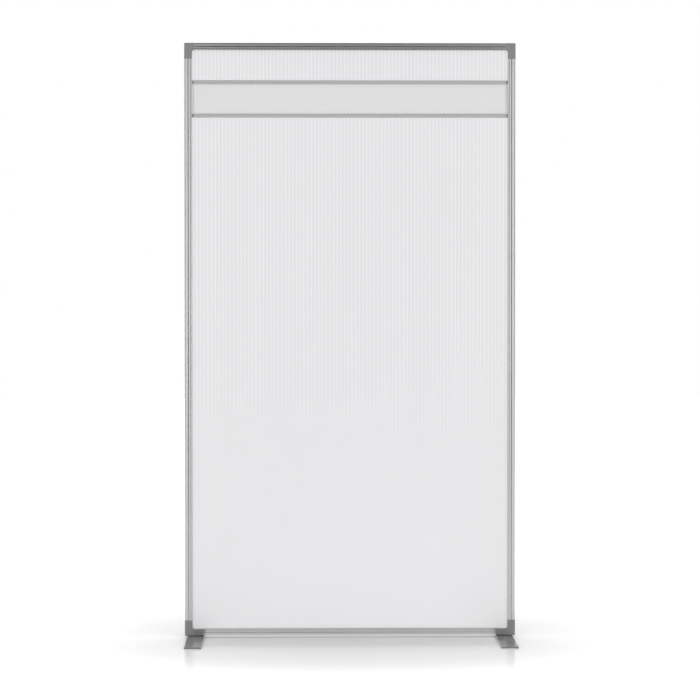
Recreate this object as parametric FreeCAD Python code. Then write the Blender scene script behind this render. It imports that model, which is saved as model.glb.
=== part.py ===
import FreeCAD, Part
import os

# Free-standing partition screen: an aluminium frame with moulded corners holds two fluted
# twin-wall sheets and a plain strip plate, and stands on two flat steel feet.
# Millimetres. X runs across the screen, the front faces -Y, Z points up.
# The origin is on the floor, under the middle of the screen.

os.makedirs("parts", exist_ok=True)

# Driving dimensions of the whole screen
frame_width = 1000.0
screen_height = 1800.0
upper_sheet_visible = 91.0
strip_visible_height = 90.5

# Rails and stiles: one hollow extrusion with a channel for the sheets
rail_face = 22.0
rail_depth = 18.0
rail_edge_radius = 3.5
rail_lip_radius = 0.8
face_groove_width = 2.2
face_groove_depth = 1.6
face_groove_slope = 0.2
lip_groove_width = 1.3
lip_groove_depth = 0.9
lip_groove_slope = 0.15
lip_groove_setback = 4.1
edge_groove_width = 8.0
edge_groove_depth = 1.2
rail_outer_wall = 2.4
rail_side_wall = 2.0
rail_web = 2.6

# Twin-wall sheets and their channel
sheet_thickness = 10.0
sheet_skin = 0.5
flute_rib = 0.5
flute_pitch = 11.17
sheet_side_clearance = 0.2
channel_depth = 10.0
sheet_edge_clearance = 2.0

# Moulded corner pieces
corner_leg_across = 28.0
corner_leg_up = 48.0
corner_proud_sideways = 0.8
corner_proud_up = 0.4
corner_proud_depth = 0.4
corner_inner_radius = 5.0
corner_edge_radius = 3.5
corner_lip_chamfer = 0.5
spigot_length = 30.0
spigot_clearance = 0.2
spigot_lead_in = 1.0
spigot_barb_start = 6.0
spigot_barb_pitch = 6.0
spigot_barb_count = 3
spigot_pocket_depth = 2.5
spigot_pocket_rim = 1.6

# Crossbars between the sheets and the strip plate
crossbar_face = 10.5
crossbar_side_wall = 1.3
crossbar_web = 1.0
crossbar_edge_chamfer = 0.8
sheet_seat_depth = 3.0
plate_seat_depth = 3.0

# Strip plate and the trims at its ends
plate_thickness = 6.0
plate_side_clearance = 0.15
strip_end_visible = 6.0
strip_end_grip = 4.0
strip_end_wall = 1.4
strip_end_clearance = 0.1
strip_end_pocket_depth = 8.0

# Plugs at the ends of the crossbars
plug_visible = 5.5
plug_inset = 0.2
plug_spigot_length = 12.0
plug_spigot_clearance = 0.1
plug_tongue_gap = 0.4

# Feet
foot_width = 50.0
foot_length = 450.0
foot_thickness = 5.0
foot_inset = 7.5
foot_corner_radius = 3.0
foot_edge_chamfer = 0.5

# Screws that hold the feet
foot_screw_diameter = 5.0
foot_screw_length = 14.0
foot_screw_head_diameter = 10.0
foot_screw_head_setback = 0.3
foot_screw_spacing = 26.0
screw_clearance = 0.25
fit_clearance = 0.05

# Cuts run past a face by the overrun, and points closer than same_place are one
cut_overrun = 1.0
same_place = 0.01

# Places worked out from the sizes above
frame_bottom = foot_thickness + corner_proud_up
frame_top = screen_height - corner_proud_up
half_width = frame_width / 2
half_depth = rail_depth / 2
channel_width = sheet_thickness + 2 * sheet_side_clearance
channel_floor = rail_face - channel_depth
crossbar_depth = channel_width + 2 * crossbar_side_wall
upper_bar_top = frame_top - rail_face - upper_sheet_visible
upper_bar_bottom = upper_bar_top - crossbar_face
lower_bar_top = upper_bar_bottom - strip_visible_height
lower_bar_bottom = lower_bar_top - crossbar_face
foot_screw_first = foot_inset + (foot_width - foot_screw_spacing) / 2
foot_screw_offsets = (foot_screw_first, foot_screw_first + foot_screw_spacing)


def point(x, y, z):
    return FreeCAD.Vector(x, y, z)


def block(x_range, y_range, z_range):
    """A box between a low and a high value on each axis."""
    size = [high - low for low, high in (x_range, y_range, z_range)]
    return Part.makeBox(size[0], size[1], size[2], point(x_range[0], y_range[0], z_range[0]))


def outline_face(corners):
    """A flat face inside straight lines through the corners, which share one plane."""
    return Part.Face(Part.makePolygon(corners + corners[:1]))


def save(shape, name):
    shape.exportStep("parts/" + name + ".step")


def mirrored(shape, across, up):
    """The shape at the left foot of the screen, moved to the right side or to the top."""
    if across:
        shape = shape.mirror(point(0, 0, 0), point(1, 0, 0))
    if up:
        shape = shape.mirror(point(0, 0, (frame_bottom + frame_top) / 2), point(0, 0, 1))
    return shape


# Frame extrusions

def rail_half_outline():
    """Front half of the section, from the edge groove round to the channel's floor.

    The face has a deeper groove along its middle and a finer one near the channel.

    X runs inwards from the outer edge and Y is the depth, with the front at -half_depth.
    """
    front = -half_depth
    grooves = [
        (rail_face / 2, face_groove_width, face_groove_depth, face_groove_slope),
        (rail_face - lip_groove_setback, lip_groove_width, lip_groove_depth, lip_groove_slope),
    ]
    corners = [
        point(edge_groove_depth, -edge_groove_width / 2, 0),
        point(0, -edge_groove_width / 2, 0),
        point(0, front, 0),
    ]
    for middle, width, depth, slope in grooves:
        start = middle - width / 2
        end = middle + width / 2
        corners += [
            point(start, front, 0),
            point(start + slope, front + depth, 0),
            point(end - slope, front + depth, 0),
            point(end, front, 0),
        ]
    return corners + [
        point(rail_face, front, 0),
        point(rail_face, -channel_width / 2, 0),
        point(channel_floor, -channel_width / 2, 0),
    ]


def round_long_edges(solid, length, places, radius):
    """Round the edges that run the full length of an extrusion at the given section points."""
    chosen = []
    for edge in solid.Edges:
        start, end = edge.firstVertex().Point, edge.lastVertex().Point
        if abs(abs(end.z - start.z) - length) > same_place:
            continue
        for place in places:
            if (point(start.x, start.y, 0) - place).Length < same_place:
                chosen.append(edge)
    return solid.makeFillet(radius, chosen)


def rail(length):
    """One extrusion on end: outer edge at x = 0, channel mouth at x = rail_face."""
    half = rail_half_outline()
    back = [point(corner.x, -corner.y, 0) for corner in reversed(half)]
    solid = outline_face(half + back).extrude(point(0, 0, length))
    outer_places = [point(0, side * half_depth, 0) for side in (-1, 1)]
    solid = round_long_edges(solid, length, outer_places, rail_edge_radius)
    lip_places = [point(rail_face, side * half_depth, 0) for side in (-1, 1)]
    solid = round_long_edges(solid, length, lip_places, rail_lip_radius)
    chamber = block(
        (rail_outer_wall, channel_floor - rail_web),
        (rail_side_wall - half_depth, half_depth - rail_side_wall),
        (-cut_overrun, length + cut_overrun),
    )
    return solid.cut(chamber)


stile_start = frame_bottom - corner_proud_up + corner_leg_up
stile_end = frame_top + corner_proud_up - corner_leg_up
stile_length = stile_end - stile_start
rail_start = half_width + corner_proud_sideways - corner_leg_across
rail_length = 2 * rail_start


left_stile = rail(stile_length)
left_stile.translate(point(-half_width, 0, stile_start))
top_rail = rail(rail_length)
# A quarter turn lays the extrusion along X with its outer edge up
top_rail.rotate(point(0, 0, 0), point(0, 1, 0), 90)
top_rail.translate(point(-rail_start, 0, frame_top))
bottom_rail = mirrored(top_rail, False, True)
foot_screw_hole_radius = foot_screw_diameter / 2 + screw_clearance
for side in (-1, 1):
    bottom_rail = bottom_rail.cut(Part.makeCylinder(
        foot_screw_hole_radius,
        rail_outer_wall + 2 * cut_overrun,
        point(side * (half_width - foot_screw_offsets[1]), 0, frame_bottom - cut_overrun),
        point(0, 0, 1),
    ))
save(left_stile, "left_stile")
save(mirrored(left_stile, True, False), "right_stile")
save(top_rail, "top_rail")
save(bottom_rail, "bottom_rail")


# Corner pieces, worked out at the bottom left and mirrored to the other corners

def spigot(bosses):
    """A cored, barbed spigot on end, between the walls of the extrusion's chamber.

    Pockets in its front and back leave a boss at each of the given setbacks.
    """
    low = rail_outer_wall + spigot_clearance
    high = channel_floor - rail_web - spigot_clearance
    side = half_depth - rail_side_wall - spigot_clearance
    barb = spigot_clearance - fit_clearance
    steps = range(spigot_barb_count)
    starts = [spigot_barb_start + step * spigot_barb_pitch for step in steps]
    rising = [point(low, -side, 0)]
    falling = [point(high, -side, 0)]
    for start in starts:
        # Each barb rises square from the spigot and slopes away towards its tip
        rising += [point(low, -side, start), point(low - barb, -side, start)]
        falling += [point(high, -side, start), point(high + barb, -side, start)]
    last = starts[-1] + spigot_barb_pitch
    rising += [point(low, -side, last), point(low, -side, spigot_length)]
    falling += [point(high, -side, last), point(high, -side, spigot_length)]
    body = outline_face(rising + falling[::-1]).extrude(point(0, 2 * side, 0))
    tip_edges = [
        edge for edge in body.Edges
        if abs(edge.CenterOfMass.z - spigot_length) < same_place
    ]
    body = body.makeChamfer(spigot_lead_in, tip_edges)
    rim = spigot_pocket_rim
    boss_reach = foot_screw_diameter / 2 + rim
    stops = [rim]
    for setback in bosses:
        stops += [setback - boss_reach, setback + boss_reach]
    stops.append(spigot_length - spigot_lead_in - rim)
    for along in zip(stops[::2], stops[1::2]):
        for facing in (-1, 1):
            near = facing * (side + cut_overrun)
            far = facing * (side - spigot_pocket_depth)
            across = (low + rim, high - rim)
            body = body.cut(block(across, (min(near, far), max(near, far)), along))
    return body


def corner_body():
    """L-shaped moulding with rounded outer edges and a slot for the sheets.

    Its own axes start at the extrusions' outer edges: X inwards, Z upwards.
    """
    low_x = -corner_proud_sideways
    low_z = -corner_proud_up
    end_x = low_x + corner_leg_across
    end_z = low_z + corner_leg_up
    half_body = half_depth + corner_proud_depth
    outline = outline_face([
        point(low_x, -half_body, low_z),
        point(end_x, -half_body, low_z),
        point(end_x, -half_body, rail_face),
        point(rail_face, -half_body, rail_face),
        point(rail_face, -half_body, end_z),
        point(low_x, -half_body, end_z),
    ])
    body = outline.extrude(point(0, 2 * half_body, 0))

    def upright_edges(x, z):
        return [
            edge for edge in body.Edges
            if abs(edge.CenterOfMass.x - x) < same_place
            and abs(edge.CenterOfMass.z - z) < same_place
        ]

    def face_edges(outside):
        """Edges of the front and back faces along the outer or the inner side of the L."""
        chosen = []
        for edge in body.Edges:
            middle = edge.CenterOfMass
            at_face = abs(abs(middle.y) - half_body) < same_place
            at_end = abs(middle.x - end_x) < same_place or abs(middle.z - end_z) < same_place
            hugs_outside = min(middle.x, middle.z) < corner_edge_radius
            if at_face and not at_end and hugs_outside == outside:
                chosen.append(edge)
        return chosen

    outer_edges = upright_edges(low_x, low_z) + face_edges(True)
    body = body.makeFillet(corner_edge_radius, outer_edges)
    body = body.makeFillet(corner_inner_radius, upright_edges(rail_face, rail_face))
    body = body.makeChamfer(corner_lip_chamfer, face_edges(False))
    slot = block(
        (channel_floor, corner_leg_across + cut_overrun),
        (-channel_width / 2, channel_width / 2),
        (channel_floor, corner_leg_up + cut_overrun),
    )
    return body.cut(slot)


def corner_piece(at_top):
    """One corner with both spigots, and a bottom one's holes for the foot screws."""
    body = corner_body()
    end_x = corner_leg_across - corner_proud_sideways
    end_z = corner_leg_up - corner_proud_up
    up = spigot([])
    up.translate(point(0, 0, end_z))
    along = spigot([] if at_top else [foot_screw_offsets[1] - end_x])
    # Turning X up and Z along the rail puts the spigot on its side
    along.rotate(point(0, 0, 0), point(0, 1, 0), -90)
    along = along.mirror(point(0, 0, 0), point(1, 0, 0))
    along.translate(point(end_x, 0, 0))
    body = body.fuse(up).fuse(along).removeSplitter()
    if at_top:
        return body
    for offset in foot_screw_offsets:
        body = body.cut(Part.makeCylinder(
            foot_screw_diameter / 2 + fit_clearance,
            channel_floor - rail_web + cut_overrun,
            point(offset, 0, -cut_overrun),
            point(0, 0, 1),
        ))
    return body


for row, at_top in (("bottom", False), ("top", True)):
    for column, across in (("left", False), ("right", True)):
        corner = corner_piece(at_top)
        corner.translate(point(-half_width, 0, frame_bottom))
        save(mirrored(corner, across, at_top), "corner_" + row + "_" + column)


# Twin-wall sheets with upright flutes

def twin_wall_sheet(bottom, top):
    """Two skins joined by ribs: a plain outline with a row of rectangular cells, extruded."""
    width = frame_width - 2 * channel_floor - 2 * sheet_edge_clearance
    cell_count = round((width - flute_rib) / flute_pitch)
    pitch = (width - flute_rib) / cell_count
    half_thickness = sheet_thickness / 2
    inner = half_thickness - sheet_skin
    wires = [Part.makePolygon([
        point(-width / 2, -half_thickness, bottom),
        point(width / 2, -half_thickness, bottom),
        point(width / 2, half_thickness, bottom),
        point(-width / 2, half_thickness, bottom),
        point(-width / 2, -half_thickness, bottom),
    ])]
    for index in range(cell_count):
        low = -width / 2 + flute_rib + index * pitch
        high = low + pitch - flute_rib
        wires.append(Part.makePolygon([
            point(low, -inner, bottom),
            point(low, inner, bottom),
            point(high, inner, bottom),
            point(high, -inner, bottom),
            point(low, -inner, bottom),
        ]))
    return Part.Face(wires).extrude(point(0, 0, top - bottom))


lower_sheet_bottom = frame_bottom + channel_floor
lower_sheet_top = lower_bar_bottom + sheet_seat_depth
upper_sheet_bottom = upper_bar_top - sheet_seat_depth
upper_sheet_top = frame_top - channel_floor - sheet_edge_clearance
save(twin_wall_sheet(lower_sheet_bottom, lower_sheet_top), "lower_sheet")
save(twin_wall_sheet(upper_sheet_bottom, upper_sheet_top), "upper_sheet")


# Crossbars, worked out for the upper one: sheet seat above, plate seat below

opening_half = half_width - rail_face
bar_half = opening_half - plug_visible
plate_seat_width = plate_thickness + 2 * plate_side_clearance


def crossbar_outline(inset):
    """Section in Y and Z, lower edge at z = 0, drawn in by inset all round its outside."""
    half_bar = crossbar_depth / 2 - inset
    low = inset
    high = crossbar_face - inset
    sheet_floor = crossbar_face - sheet_seat_depth
    return [
        (-half_bar, low),
        (-plate_seat_width / 2, low),
        (-plate_seat_width / 2, plate_seat_depth),
        (plate_seat_width / 2, plate_seat_depth),
        (plate_seat_width / 2, low),
        (half_bar, low),
        (half_bar, high),
        (channel_width / 2, high),
        (channel_width / 2, sheet_floor),
        (-channel_width / 2, sheet_floor),
        (-channel_width / 2, high),
        (-half_bar, high),
    ]


def crossbar_length_of_section(start, end, inset):
    """The crossbar's section carried from start to end along X, outer edges eased."""
    corners = [point(start, y, z) for y, z in crossbar_outline(inset)]
    solid = outline_face(corners).extrude(point(end - start, 0, 0))
    half_bar = crossbar_depth / 2 - inset
    outer = [
        edge for edge in solid.Edges
        if abs(abs(edge.CenterOfMass.y) - half_bar) < same_place
        and abs(edge.CenterOfMass.x - (start + end) / 2) < same_place
    ]
    return solid.makeChamfer(crossbar_edge_chamfer, outer)


def crossbar():
    solid = crossbar_length_of_section(-bar_half, bar_half, 0)
    chamber = block(
        (-bar_half - cut_overrun, bar_half + cut_overrun),
        (crossbar_side_wall - crossbar_depth / 2, crossbar_depth / 2 - crossbar_side_wall),
        (plate_seat_depth + crossbar_web, crossbar_face - sheet_seat_depth - crossbar_web),
    )
    return solid.cut(chamber)


def crossbar_plug():
    """Left plug: a block that carries on the bar's section, a tongue and a spigot."""
    head = crossbar_length_of_section(-opening_half, -bar_half, plug_inset)
    tongue = block(
        (-opening_half - channel_depth + plug_tongue_gap, -opening_half),
        (strip_end_clearance - channel_width / 2, channel_width / 2 - strip_end_clearance),
        (plug_inset, crossbar_face - sheet_seat_depth),
    )
    spigot_side = crossbar_depth / 2 - crossbar_side_wall - plug_spigot_clearance
    spigot_piece = block(
        (-bar_half, -bar_half + plug_spigot_length),
        (-spigot_side, spigot_side),
        (
            plate_seat_depth + crossbar_web + plug_spigot_clearance,
            crossbar_face - sheet_seat_depth - crossbar_web - plug_spigot_clearance,
        ),
    )
    return head.fuse(tongue).fuse(spigot_piece).removeSplitter()


def at_bar(shape, upper):
    """Places a shape made for the upper bar, or turned over for the lower one."""
    placed = shape.copy()
    if upper:
        placed.translate(point(0, 0, upper_bar_bottom))
        return placed
    placed = placed.mirror(point(0, 0, 0), point(0, 0, 1))
    placed.translate(point(0, 0, lower_bar_top))
    return placed


for level, upper in (("upper", True), ("lower", False)):
    save(at_bar(crossbar(), upper), level + "_crossbar")
    for column, across in (("left", False), ("right", True)):
        plug = mirrored(at_bar(crossbar_plug(), upper), across, False)
        save(plug, "crossbar_plug_" + level + "_" + column)


# Strip plate and the trims that hold its ends in the stiles' channels

plate_half = opening_half - strip_end_visible + strip_end_grip
strip_plate = block(
    (-plate_half, plate_half),
    (-plate_thickness / 2, plate_thickness / 2),
    (lower_bar_top - plate_seat_depth, upper_bar_bottom + plate_seat_depth),
)
save(strip_plate, "strip_plate")


def strip_end():
    """Left trim: a bar with a slot for the plate and a pocket towards the channel's floor."""
    outer = -opening_half - channel_depth + plug_tongue_gap
    inner = -opening_half + strip_end_visible
    side = channel_width / 2 - strip_end_clearance
    z_range = (lower_bar_top + strip_end_clearance, upper_bar_bottom - strip_end_clearance)
    cut_range = (z_range[0] - cut_overrun, z_range[1] + cut_overrun)
    body = block((outer, inner), (-side, side), z_range)
    front_edges = [
        edge for edge in body.Edges
        if abs(edge.CenterOfMass.x - inner) < same_place
        and abs(abs(edge.CenterOfMass.y) - side) < same_place
    ]
    body = body.makeChamfer(crossbar_edge_chamfer, front_edges)
    slot = block(
        (-plate_half - strip_end_clearance, inner + cut_overrun),
        (-plate_seat_width / 2, plate_seat_width / 2),
        cut_range,
    )
    pocket = block(
        (outer - cut_overrun, outer + strip_end_pocket_depth),
        (strip_end_wall - side, side - strip_end_wall),
        cut_range,
    )
    return body.cut(slot).cut(pocket)


save(strip_end(), "strip_end_left")
save(mirrored(strip_end(), True, False), "strip_end_right")


# Feet with the screws that hold them to the bottom corners

head_height = (foot_screw_head_diameter - foot_screw_diameter) / 2
sink_depth = foot_screw_head_setback + head_height


def left_foot():
    low_x = foot_inset - half_width
    plate = block(
        (low_x, low_x + foot_width), (-foot_length / 2, foot_length / 2), (0, foot_thickness)
    )
    upright = [
        edge for edge in plate.Edges
        if abs(edge.CenterOfMass.z - foot_thickness / 2) < same_place
    ]
    plate = plate.makeFillet(foot_corner_radius, upright)
    rims = [
        edge for edge in plate.Edges
        if abs(edge.CenterOfMass.z - foot_thickness) < same_place
    ]
    plate = plate.makeChamfer(foot_edge_chamfer, rims)
    for offset in foot_screw_offsets:
        place = point(offset - half_width, 0, 0)
        hole = Part.makeCylinder(foot_screw_hole_radius, foot_thickness, place)
        sink = Part.makeCone(
            foot_screw_hole_radius + sink_depth, foot_screw_hole_radius, sink_depth, place
        )
        plate = plate.cut(hole).cut(sink)
    return plate


def foot_screw(offset):
    """Countersunk screw, head down."""
    radius = foot_screw_diameter / 2
    place = point(offset - half_width, 0, foot_screw_head_setback)
    neck = place + point(0, 0, head_height)
    head = Part.makeCone(foot_screw_head_diameter / 2, radius, head_height, place)
    shank = Part.makeCylinder(radius, foot_screw_length - head_height, neck)
    return head.fuse(shank)


screws = []
for column, across in (("left", False), ("right", True)):
    save(mirrored(left_foot(), across, False), "foot_" + column)
    for offset in foot_screw_offsets:
        screws.append(mirrored(foot_screw(offset), across, False))
save(Part.makeCompound(screws), "foot_screws")
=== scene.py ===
import math

import bmesh
import bpy
import numpy as np
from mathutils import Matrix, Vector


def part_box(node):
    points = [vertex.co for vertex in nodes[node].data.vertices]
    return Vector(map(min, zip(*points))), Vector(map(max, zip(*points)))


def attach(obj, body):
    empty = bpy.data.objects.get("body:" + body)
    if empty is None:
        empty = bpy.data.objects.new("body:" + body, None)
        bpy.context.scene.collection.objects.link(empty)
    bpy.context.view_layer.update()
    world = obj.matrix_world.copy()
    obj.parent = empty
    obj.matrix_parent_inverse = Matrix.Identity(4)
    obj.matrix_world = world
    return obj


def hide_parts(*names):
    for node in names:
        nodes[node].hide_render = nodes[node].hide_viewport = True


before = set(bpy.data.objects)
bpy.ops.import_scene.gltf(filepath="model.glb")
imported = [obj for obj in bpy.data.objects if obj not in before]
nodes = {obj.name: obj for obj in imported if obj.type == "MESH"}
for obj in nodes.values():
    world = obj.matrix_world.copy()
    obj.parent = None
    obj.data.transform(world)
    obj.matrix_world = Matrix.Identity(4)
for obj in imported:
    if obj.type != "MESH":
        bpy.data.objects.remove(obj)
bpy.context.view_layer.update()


# Aluminium frame: four lengths of one hollow grooved extrusion, satin anodised.
# The drawing die leaves faint lines along each length, so its gloss spreads across them.
class Signal:
    """One socket of a material, so that shader maths reads as plain arithmetic."""

    def __init__(self, recipe, socket):
        self.recipe = recipe
        self.socket = socket

    def maths(self, operation, first, second=None):
        """Adds a Math node for one operator; None leaves out its second value."""
        values = {0: first} if second is None else {0: first, 1: second}
        return self.recipe.node("ShaderNodeMath", values, operation=operation)

    def __add__(self, other):
        return self.maths("ADD", self, other)

    def __sub__(self, other):
        return self.maths("SUBTRACT", self, other)

    def __rsub__(self, other):
        return self.maths("SUBTRACT", other, self)

    def __mul__(self, other):
        return self.maths("MULTIPLY", self, other)

    def __abs__(self):
        return self.maths("ABSOLUTE", self)

    __radd__ = __add__
    __rmul__ = __mul__


class Recipe:
    """A material or world under construction: its shader and the nodes that feed it."""

    def __init__(self, block, shader="Principled BSDF"):
        self.block = block
        block.use_nodes = True
        self.tree = block.node_tree
        self.shader = self.tree.nodes[shader]

    def put(self, socket, value):
        """Links a signal to a socket, or sets a plain value on it."""
        if isinstance(value, Signal):
            self.tree.links.new(value.socket, socket)
        else:
            socket.default_value = value

    def node(self, kind, sockets, output=0, **settings):
        """Adds a node: its settings first, then the values or links of its sockets."""
        made = self.tree.nodes.new(kind)
        for setting, value in settings.items():
            setattr(made, setting, value)
        for socket, value in sockets.items():
            self.put(made.inputs[socket], value)
        return Signal(self, made.outputs[output])

    def place(self, stretch=(1, 1, 1)):
        """Object coordinates in metres, squeezed by the given factor on each axis."""
        coordinates = self.node("ShaderNodeTexCoord", {}, output="Object")
        return self.node("ShaderNodeVectorMath", {0: coordinates, 1: stretch}, operation="MULTIPLY")

    def axis(self, name):
        """One Object coordinate by itself, in metres."""
        return self.node("ShaderNodeSeparateXYZ", {0: self.place()}, output=name)

    def noise(self, stretch, detail=2.0, roughness=0.5):
        """Soft noise around 0.5, with stretch grains to the metre on each axis."""
        return self.node(
            "ShaderNodeTexNoise",
            {"Vector": self.place(stretch), "Scale": 1.0, "Detail": detail, "Roughness": roughness},
        )

    def tint(self, colour, amount):
        """The colour with its brightness multiplied by a signal around 1."""
        return self.node(
            "ShaderNodeVectorMath", {0: colour, "Scale": amount}, operation="SCALE"
        )

    def band(self, value, middle, half_width):
        """1 where the value is within half_width of the middle, and 0 elsewhere."""
        return self.node(
            "ShaderNodeMath", {0: value, 1: middle, 2: half_width}, operation="COMPARE"
        )

    def ray(self, kind):
        """1 for that kind of light ray, such as Camera or Glossy, and 0 for the others."""
        return self.node("ShaderNodeLightPath", {}, output="Is %s Ray" % kind)

    def least(self, first, second):
        """The smaller of two values at each point."""
        return self.node("ShaderNodeMath", {0: first, 1: second}, operation="MINIMUM")

    def most(self, first, second):
        """The larger of two values at each point."""
        return self.node("ShaderNodeMath", {0: first, 1: second}, operation="MAXIMUM")

    def slope(self, value, start, end, low=0.0, high=1.0, easing="LINEAR"):
        """Runs from low to high while the value runs from start to end."""
        ends = {"From Min": start, "From Max": end, "To Min": low, "To Max": high}
        return self.node("ShaderNodeMapRange", {"Value": value, **ends}, interpolation_type=easing)

    def bump(self, height, distance, strength):
        """A surface raised by the height, where a height of 1 is the distance in metres."""
        return self.node(
            "ShaderNodeBump", {"Height": height, "Distance": distance, "Strength": strength}
        )

    def finish(self, *node_names, **sockets):
        """Sets the shader's sockets and gives the material to the named CAD nodes."""
        for socket, value in sockets.items():
            self.put(self.shader.inputs[socket.replace("_", " ")], value)
        for name in node_names:
            for slot in nodes[name].material_slots:
                slot.material = self.block


def painted_groove_shade(recipe, across, middle, half_span):
    """Painted shade inside the two grooves of the face, found by their depth and setback.

    The setback is half the frame's span less the distance from its middle. The painted shade grows
    from a fifth near the floor, whose light fills the grooves, to three quarters.
    """
    face_width = 0.022
    middle_setback, middle_half_width = face_width / 2, 0.0013
    lip_setback, lip_half_width = face_width - 0.0041, 0.0008
    halfway_down, half_depth = 0.0079, 0.00095
    shade_starts, shade_ends = 0.05, 0.8
    least_shade, full_shade = 0.2, 0.74

    setback = half_span - abs(recipe.axis(across) - middle)
    middle_groove = recipe.band(setback, middle_setback, middle_half_width)
    lip_groove = recipe.band(setback, lip_setback, lip_half_width)
    inside = recipe.band(abs(recipe.axis("Y")), halfway_down, half_depth)
    shade = recipe.slope(recipe.axis("Z"), shade_starts, shade_ends, least_shade, full_shade)
    return shade * inside * (middle_groove + lip_groove)


def drawn_aluminium(name, grey, along, node_names, gloss, turn=0.0, grooves=None):
    """Satin anodised extrusion, whose drawing lines run along the given axis.

    Noise about two hundred times longer than wide gives the lines, in two widths. The
    grooves are rougher, and painted shade makes them darker.
    """
    line_grains, line_grains_along = 900.0, 4.0
    scratch_grains, scratch_grains_along = 3500.0, 18.0
    bloom_grains = 14.0
    line_height = 0.00001
    bluish = 1.008

    recipe = Recipe(bpy.data.materials.new(name))
    wide = [line_grains, line_grains, line_grains]
    fine = [scratch_grains, scratch_grains, scratch_grains]
    wide["xyz".index(along)] = line_grains_along
    fine["xyz".index(along)] = scratch_grains_along
    lines = recipe.noise(wide, detail=3.0)
    scratches = recipe.noise(fine)
    bloom = recipe.noise((bloom_grains, bloom_grains, bloom_grains))
    tone = 0.87 + 0.14 * lines + 0.08 * scratches + 0.04 * bloom
    roughness = gloss - 0.075 + 0.1 * lines + 0.06 * scratches
    if grooves:
        groove_shade = painted_groove_shade(recipe, *grooves)
        # Painted shade darkens the grooves' tone; the grooves are also rougher.
        tone = tone * (1 - groove_shade)
        roughness = roughness + 0.3 * groove_shade
    relief = recipe.bump(lines + 0.5 * scratches, line_height, 0.2)
    recipe.finish(
        *node_names,
        Base_Color=recipe.tint((grey, grey, grey * bluish), tone),
        Roughness=roughness,
        Normal=relief,
        Metallic=1.0,
        Anisotropic=0.85,
        Anisotropic_Rotation=turn,
    )


half_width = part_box("right_stile")[1].x
frame_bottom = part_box("bottom_rail")[0].z
frame_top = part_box("top_rail")[1].z
quarter_turn = 0.25
# One extrusion in two greys, shaded and lit copies of one anodising: the stiles' darker grey is
# painted shade, the rails' lighter grey painted light, each set for how the light falls on it.
drawn_aluminium(
    "stile_anodised_painted_shade",
    0.525,
    "z",
    ["left_stile", "right_stile"],
    gloss=0.36,
    grooves=("X", 0, half_width),
)
drawn_aluminium(
    "rail_anodised_painted_light",
    0.65,
    "x",
    ["top_rail", "bottom_rail"],
    gloss=0.3,
    turn=quarter_turn,
    grooves=("Z", (frame_bottom + frame_top) / 2, (frame_top - frame_bottom) / 2),
)


# Moulded corners: grey glass-filled nylon with a fine eroded grain, knocked into the rails.
# Their rounded outer edges are a little smoother than the faces, with a painted highlight that makes
# them lighter.
def moulded_plastic(name, grey, node_names, edge_highlight_lift=0.0):
    """Grain of half a millimetre over a slow, slight unevenness of tone.

    The painted edge highlight is one slope towards the screen's side times one towards its front and
    back.
    """
    grain_height = 0.00012
    rounding = 0.0035

    recipe = Recipe(bpy.data.materials.new(name))
    grain = recipe.noise((1900.0, 1900.0, 1900.0), detail=3.0, roughness=0.6)
    flow = recipe.noise((35.0, 35.0, 22.0))
    tone = 0.88 + 0.16 * grain + 0.08 * flow
    roughness = 0.45 + 0.1 * grain
    if edge_highlight_lift:
        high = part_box("corner_top_right")[1]
        sideways = recipe.slope(abs(recipe.axis("X")), high.x - rounding, high.x)
        outwards = recipe.slope(abs(recipe.axis("Y")), high.y - rounding, high.y)
        edge_highlight = sideways * outwards
        # Painted highlight on the rounded outer edges: a lighter tone, and a little less roughness.
        tone = tone + edge_highlight_lift * edge_highlight
        roughness = roughness - edge_highlight_lift * edge_highlight
    recipe.finish(
        *node_names,
        Base_Color=recipe.tint((grey, grey, grey), tone),
        Roughness=roughness,
        Normal=recipe.bump(grain, grain_height, 0.4),
    )


moulded_plastic(
    "corner_nylon",
    0.215,
    ["corner_top_left", "corner_top_right", "corner_bottom_left", "corner_bottom_right"],
    edge_highlight_lift=0.2,
)


# Twin-wall sheets: opal polycarbonate, 10 mm thick, extruded with a rib about every 11 mm.
# The upright stripes over the ribs are painted light, as each rib scatters more light than the cells
# between.
def opal_sheet():
    """Painted lines of light over the ribs, fading towards the floor as the light on them does.

    They are the fourth power of a raised cosine of the width over the rib's pitch, less
    nearly the mean of that power, so that the sheet keeps its tone where they are strong.
    """
    opal_white = (0.87, 0.87, 0.885)
    rib_thickness, cell_count = 0.0005, 87
    sharpness, mean_line = 4.0, 0.27
    lines_start, lines_full = 0.35, 1.15
    faintest_line, strongest_line = 0.012, 0.115
    skin_height = 0.00003

    recipe = Recipe(bpy.data.materials.new("opal_polycarbonate"))
    low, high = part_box("lower_sheet")
    pitch = (high.x - low.x - rib_thickness) / cell_count
    first_rib = low.x + rib_thickness / 2
    turns = (recipe.axis("X") - first_rib) * (2 * math.pi / pitch)
    swell = 0.5 + 0.5 * recipe.node("ShaderNodeMath", {0: turns}, operation="COSINE")
    line = recipe.node("ShaderNodeMath", {0: swell, 1: sharpness}, operation="POWER")
    strength = recipe.slope(
        recipe.axis("Z"), lines_start, lines_full, faintest_line, strongest_line, "SMOOTHSTEP"
    )
    # Painted light over the ribs, weaker towards the floor.
    painted_rib_light = (line - mean_line) * strength
    melt = recipe.noise((6.0, 6.0, 1.2))
    skin = recipe.noise((420.0, 420.0, 60.0))
    recipe.finish(
        "lower_sheet",
        "upper_sheet",
        Base_Color=recipe.tint(opal_white, 0.985 + painted_rib_light + 0.02 * melt),
        Roughness=0.3 + 0.08 * skin,
        Normal=recipe.bump(skin, skin_height, 0.2),
        Alpha=0.9,
        IOR=1.58,
    )


opal_sheet()


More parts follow.
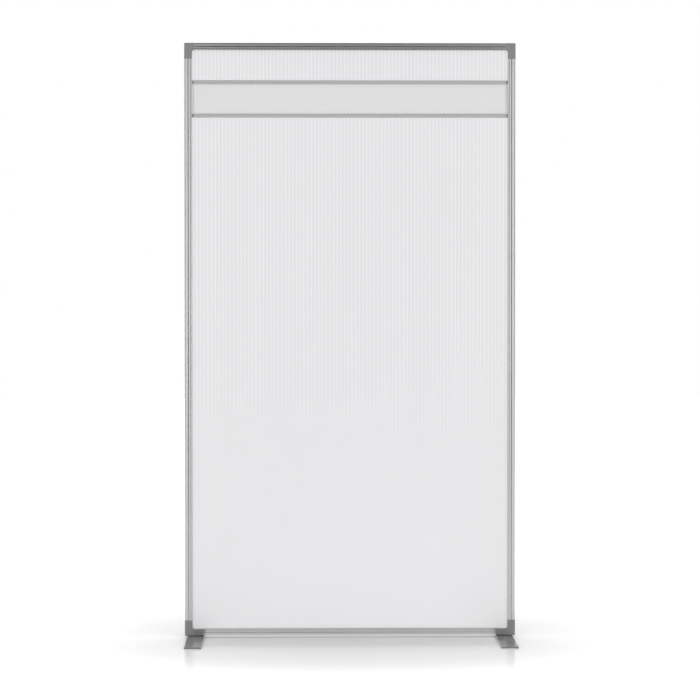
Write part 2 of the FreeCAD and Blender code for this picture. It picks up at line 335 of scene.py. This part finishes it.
# Crossbars: two slim anodised bars that hold the sheets above and below the plain strip.
# A dark moulded plug closes each end and carries the tongue that sits in the stile.
drawn_aluminium("crossbar_anodised", 0.42, "x", ["upper_crossbar", "lower_crossbar"], gloss=0.4)
moulded_plastic(
    "plug_nylon",
    0.2,
    [
        "crossbar_plug_upper_left",
        "crossbar_plug_upper_right",
        "crossbar_plug_lower_left",
        "crossbar_plug_lower_right",
    ],
)


# Strip plate: a plain light-grey laminate panel with a satin face, held by the crossbars.
# Narrow anodised trims hold its two ends in the stiles' channels.
def satin_plate():
    """Very fine orange-peel over a slow unevenness, as on a rolled laminate."""
    light_grey = (0.725, 0.725, 0.728)
    peel_height = 0.00003

    recipe = Recipe(bpy.data.materials.new("satin_laminate"))
    peel = recipe.noise((700.0, 700.0, 700.0), detail=3.0)
    cloud = recipe.noise((5.0, 5.0, 9.0))
    recipe.finish(
        "strip_plate",
        Base_Color=recipe.tint(light_grey, 0.985 + 0.02 * cloud + 0.01 * peel),
        Roughness=0.42 + 0.08 * peel,
        Normal=recipe.bump(peel, peel_height, 0.2),
    )


satin_plate()
drawn_aluminium("trim_anodised", 0.6, "z", ["strip_end_left", "strip_end_right"], gloss=0.4)


# Feet: flat steel bars, 5 mm thick, powder coated dark grey, one under each bottom corner.
# Two countersunk zinc-plated screws come up through each into the moulded corner.
def powder_coat():
    """Smooth coat with soft pebbles of about 2 mm, worn in spots along its upper edges.

    The wear is a slope over the nearest distance to a side or an end, times one down from
    the top face, times patchy noise.
    """
    dark_grey = (0.172, 0.172, 0.175)
    wear_reach, bare_edge = 0.0012, 0.0003
    pebble_height = 0.00012

    recipe = Recipe(bpy.data.materials.new("grey_powder_coat"))
    low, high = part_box("foot_right")
    pebbles = recipe.noise((520.0, 520.0, 520.0), detail=3.0, roughness=0.55)
    patches = recipe.noise((9.0, 9.0, 9.0))
    rub = recipe.noise((160.0, 60.0, 160.0), detail=3.0)
    across = abs(recipe.axis("X"))
    to_side = recipe.least(across - low.x, high.x - across)
    to_edge = recipe.least(to_side, high.y - abs(recipe.axis("Y")))
    near_top = recipe.slope(recipe.axis("Z"), high.z - wear_reach, high.z - wear_reach / 2)
    near_edge = recipe.slope(to_edge, wear_reach, bare_edge)
    worn = near_top * near_edge * recipe.slope(rub, 0.4, 0.65)
    tone = 0.83 + 0.26 * pebbles + 0.08 * patches + 0.5 * worn
    recipe.finish(
        "foot_left",
        "foot_right",
        Base_Color=recipe.tint(dark_grey, tone),
        Roughness=0.17 + 0.12 * pebbles + 0.1 * worn,
        Normal=recipe.bump(pebbles, pebble_height, 0.3),
    )


powder_coat()


def foot_screw_set():
    """Four countersunk screws, heads down, each a stack of rings carried along its axis.

    A ring is a circle or a hexagon, whose radius is half its width over the cosine of the
    angle from its nearest flat. The thread takes from the circle a triangle wave of the
    height over the pitch less the turn, fading in below the head and out at the tip.
    """
    around = 60
    head_radius, shank_radius, spacing = 0.005, 0.0025, 0.026
    socket_half_width, socket_depth, drill_tip, lead_in = 0.0015, 0.0015, 0.0004, 0.0002
    socket_shares = [0, 0.96, 1, 1.12]
    rim_radius, rim_bevel = 0.0022, 0.0001
    thread_depth, thread_pitch, plain_neck, thread_fade = 0.0004, 0.0008, 0.0003, 0.001
    ring_step, tip_length, tip_share = 0.0001, 0.0006, 0.82
    merge_distance, sharp_from = 0.000001, 32

    low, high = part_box("foot_screws")
    neck = low.z + head_radius - shank_radius
    turn = np.linspace(0, 2 * np.pi, around, endpoint=False)
    from_flat = (turn + np.pi / 6) % (np.pi / 3) - np.pi / 6
    socket = np.outer(socket_shares, socket_half_width / np.cos(from_flat))
    socket_floor = low.z + socket_depth
    socket_heights = [socket_floor + drill_tip, socket_floor, low.z + lead_in, low.z]
    head_radii = [rim_radius, head_radius - 2 * rim_bevel, head_radius - rim_bevel, shank_radius]
    head = np.outer(head_radii, 1 + 0 * turn)
    head_heights = [low.z, low.z, low.z + rim_bevel, neck]

    shank_heights = np.arange(neck + plain_neck, high.z, ring_step)
    from_tip = high.z - shank_heights
    fade = np.clip(np.minimum(shank_heights - neck, from_tip) / thread_fade, 0, 1)
    phase = (shank_heights[:, None] / thread_pitch - turn / (2 * np.pi)) % 1
    thread = shank_radius - thread_depth * fade[:, None] * np.abs(2 * phase - 1)
    tip = tip_share + (1 - tip_share) * np.clip(from_tip / tip_length, 0, 1)
    shank = thread * tip[:, None]

    radii = np.vstack([socket, head, shank, 0 * turn])
    heights = np.concatenate([socket_heights, head_heights, shank_heights, [high.z]])
    screw = np.stack(
        [radii * np.cos(turn), radii * np.sin(turn), heights[:, None] + 0 * radii], axis=-1
    ).reshape(-1, 3)
    row, step = np.meshgrid(np.arange(len(heights) - 1) * around, np.arange(around), indexing="ij")
    beside = (step + 1) % around
    quads = np.stack([row + step, row + around + step, row + around + beside, row + beside], axis=-1)

    first = low.x + head_radius
    places = np.array([first, first + spacing, -first - spacing, -first])
    points = screw + places[:, None, None] * (1, 0, 0)
    faces = quads.reshape(-1, 4) + len(screw) * np.arange(len(places))[:, None, None]
    mesh = bpy.data.meshes.new("foot_screw_set")
    mesh.from_pydata(points.reshape(-1, 3).tolist(), [], faces.reshape(-1, 4).tolist())
    shell = bmesh.new()
    shell.from_mesh(mesh)
    bmesh.ops.remove_doubles(shell, verts=shell.verts, dist=merge_distance)
    bmesh.ops.recalc_face_normals(shell, faces=shell.faces)
    shell.to_mesh(mesh)
    shell.free()
    mesh.shade_smooth()
    mesh.set_sharp_from_angle(angle=math.radians(sharp_from))
    piece = bpy.data.objects.new("foot_screw_set", mesh)
    bpy.context.scene.collection.objects.link(piece)

    zinc_grey = (0.6, 0.6, 0.61)
    recipe = Recipe(bpy.data.materials.new("zinc_plating"))
    cloud = recipe.noise((260.0, 260.0, 260.0), detail=3.0)
    speck = recipe.noise((2600.0, 2600.0, 2600.0))
    recipe.finish(
        Base_Color=recipe.tint(zinc_grey, 0.84 + 0.2 * cloud + 0.12 * speck),
        Roughness=0.2 + 0.15 * cloud + 0.1 * speck,
        Metallic=1.0,
    )
    mesh.materials.append(recipe.block)
    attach(piece, "root")
    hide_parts("foot_screws")


foot_screw_set()


# The room: a white backdrop behind the screen, and soft light from all round and above.
# What metal and polish mirror is white behind the screen and high up at its sides. The rest
# of the room is dim to them, which keeps the edges of the frame crisp.
front_fill, back_fill, overhead_fill = 0.645, 0.92, 0.54
dim_room = 0.03
world = bpy.data.worlds.new("studio")
bpy.context.scene.world = world
room = Recipe(world, "Background")
direction = room.node("ShaderNodeTexCoord", {}, output="Generated")
sideways = abs(room.node("ShaderNodeSeparateXYZ", {0: direction}, output="X"))
towards_back = room.node("ShaderNodeSeparateXYZ", {0: direction}, output="Y")
overhead = room.most(room.node("ShaderNodeSeparateXYZ", {0: direction}, output="Z"), 0.0)
glossy_ray = room.ray("Glossy")
# Each part of a direction runs from -1 to 1, and the slopes' limits are in those parts.
high_sides = room.slope(sideways, 0.85, 0.93) * room.slope(overhead, 0.1, 0.15)
mirrored = room.most(high_sides, room.slope(towards_back, 0.5, 0.7))
seen_directly = room.most(room.ray("Camera"), room.ray("Transmission"))
backdrop = room.most(seen_directly, glossy_ray * mirrored)
level_fill = room.slope(towards_back, -0.4, 0.4, front_fill, back_fill)
fill_light = level_fill + overhead_fill * overhead * overhead
soft = fill_light + glossy_ray * (dim_room - fill_light)
room.finish(Strength=soft + backdrop * (1 - soft), Color=(1, 1, 1, 1))


# The floor: pale paint, polished round the screen, so that it mirrors the feet and the rail.
# It keeps the screen's cast shadow, with painted shadow from ambient occlusion, which is deepest in
# the narrow gap under the bottom rail.
def pale_floor():
    """Open air is 1 in the open and less in corners; its square dims light and polish, and the grey
    is painted darker where it is low.

    The polish fades with the distance from the screen. Rays from metal see a light floor, and
    diffuse surfaces see it lighter still round the screen, by painted bounce light. The camera sees
    the paint's painted light and painted shadow, and more of that light far from the screen, where
    floor and backdrop meet in plain white.
    """
    reach = 14.0
    shadow_reach = 0.7
    polished_to, unpolished_from, oval = 0.42, 0.9, (0.75, 1, 0)
    open_light, screen_light = 0.64, 0.38
    reflected_light, painted_bounce_light = 0.6, 0.31
    paint_grey = (0.56, 0.56, 0.56)

    mesh = bpy.data.meshes.new("floor")
    ends = [(-reach, -reach, 0), (reach, -reach, 0), (reach, reach, 0), (-reach, reach, 0)]
    mesh.from_pydata(ends, [], [(0, 1, 2, 3)])
    floor = bpy.data.objects.new("floor", mesh)
    bpy.context.scene.collection.objects.link(floor)

    paint = Recipe(bpy.data.materials.new("pale_floor"))
    open_air = paint.node(
        "ShaderNodeAmbientOcclusion", {"Distance": shadow_reach}, output="AO", samples=8
    )
    contact = open_air * open_air
    from_screen = paint.node(
        "ShaderNodeVectorMath", {0: paint.place(oval)}, output="Value", operation="LENGTH"
    )
    polish = paint.slope(from_screen, polished_to, unpolished_from, 1.0, 0.0, "SMOOTHSTEP")
    paint_light = (open_light - (open_light - screen_light) * polish) * contact
    reflected = paint.most(paint.ray("Glossy"), paint.ray("Transmission"))
    light = paint_light * paint.ray("Camera") + reflected_light * reflected
    # The grey carries painted shade where open air is low. The emission is painted light and painted
    # shadow for the camera, and painted bounce light round the screen for diffuse rays.
    paint.finish(
        Base_Color=paint.tint(paint_grey, paint.slope(open_air, 0.3, 0.5, 0.7, 1.0)),
        Roughness=0.5,
        Specular_IOR_Level=0.0,
        Coat_Weight=polish * contact,
        Coat_Roughness=0.12,
        Emission_Color=(1, 1, 1, 1),
        Emission_Strength=light + painted_bounce_light * polish * paint.ray("Diffuse"),
    )
    mesh.materials.append(paint.block)


pale_floor()


# Softboxes: two upright ones in front of the screen, left and right, turned towards it.
# The right one stands a little further out, clear of what the rails' right ends mirror.
in_front, middle_height = 5.0, 1.75
tipped_down, turned_in = math.radians(9), math.radians(21.8)
for side, outwards, watts in ((-1, 2.0, 44.5), (1, 2.25, 48)):
    lamp = bpy.data.lights.new("softbox", "AREA")
    lamp.shape = "RECTANGLE"
    lamp.size = 1.6
    lamp.size_y = 2.6
    lamp.energy = watts
    softbox = bpy.data.objects.new("softbox", lamp)
    softbox.location = (side * outwards, -in_front, middle_height)
    softbox.rotation_euler = (math.pi / 2 - tipped_down, 0, side * turned_in)
    bpy.context.scene.collection.objects.link(softbox)


# The camera stands at chest height in front of the screen, a little left of its middle.
# Its place and lens come from the screen's corners and the feet's ends in the photograph.
lens = bpy.data.cameras.new("camera")
lens.lens = 120.93
lens.shift_x = 0.015
lens.shift_y = -0.05
lens.sensor_width = 36
lens.clip_end = 60
camera = bpy.data.objects.new("camera", lens)
camera.location = (-0.1344, -7.121, 1.0962)
camera.rotation_euler = (math.pi / 2 - 0.0166, 0.0002, -0.0144)
bpy.context.scene.collection.objects.link(camera)
bpy.context.scene.camera = camera

bpy.context.scene.view_settings.view_transform = "Standard"
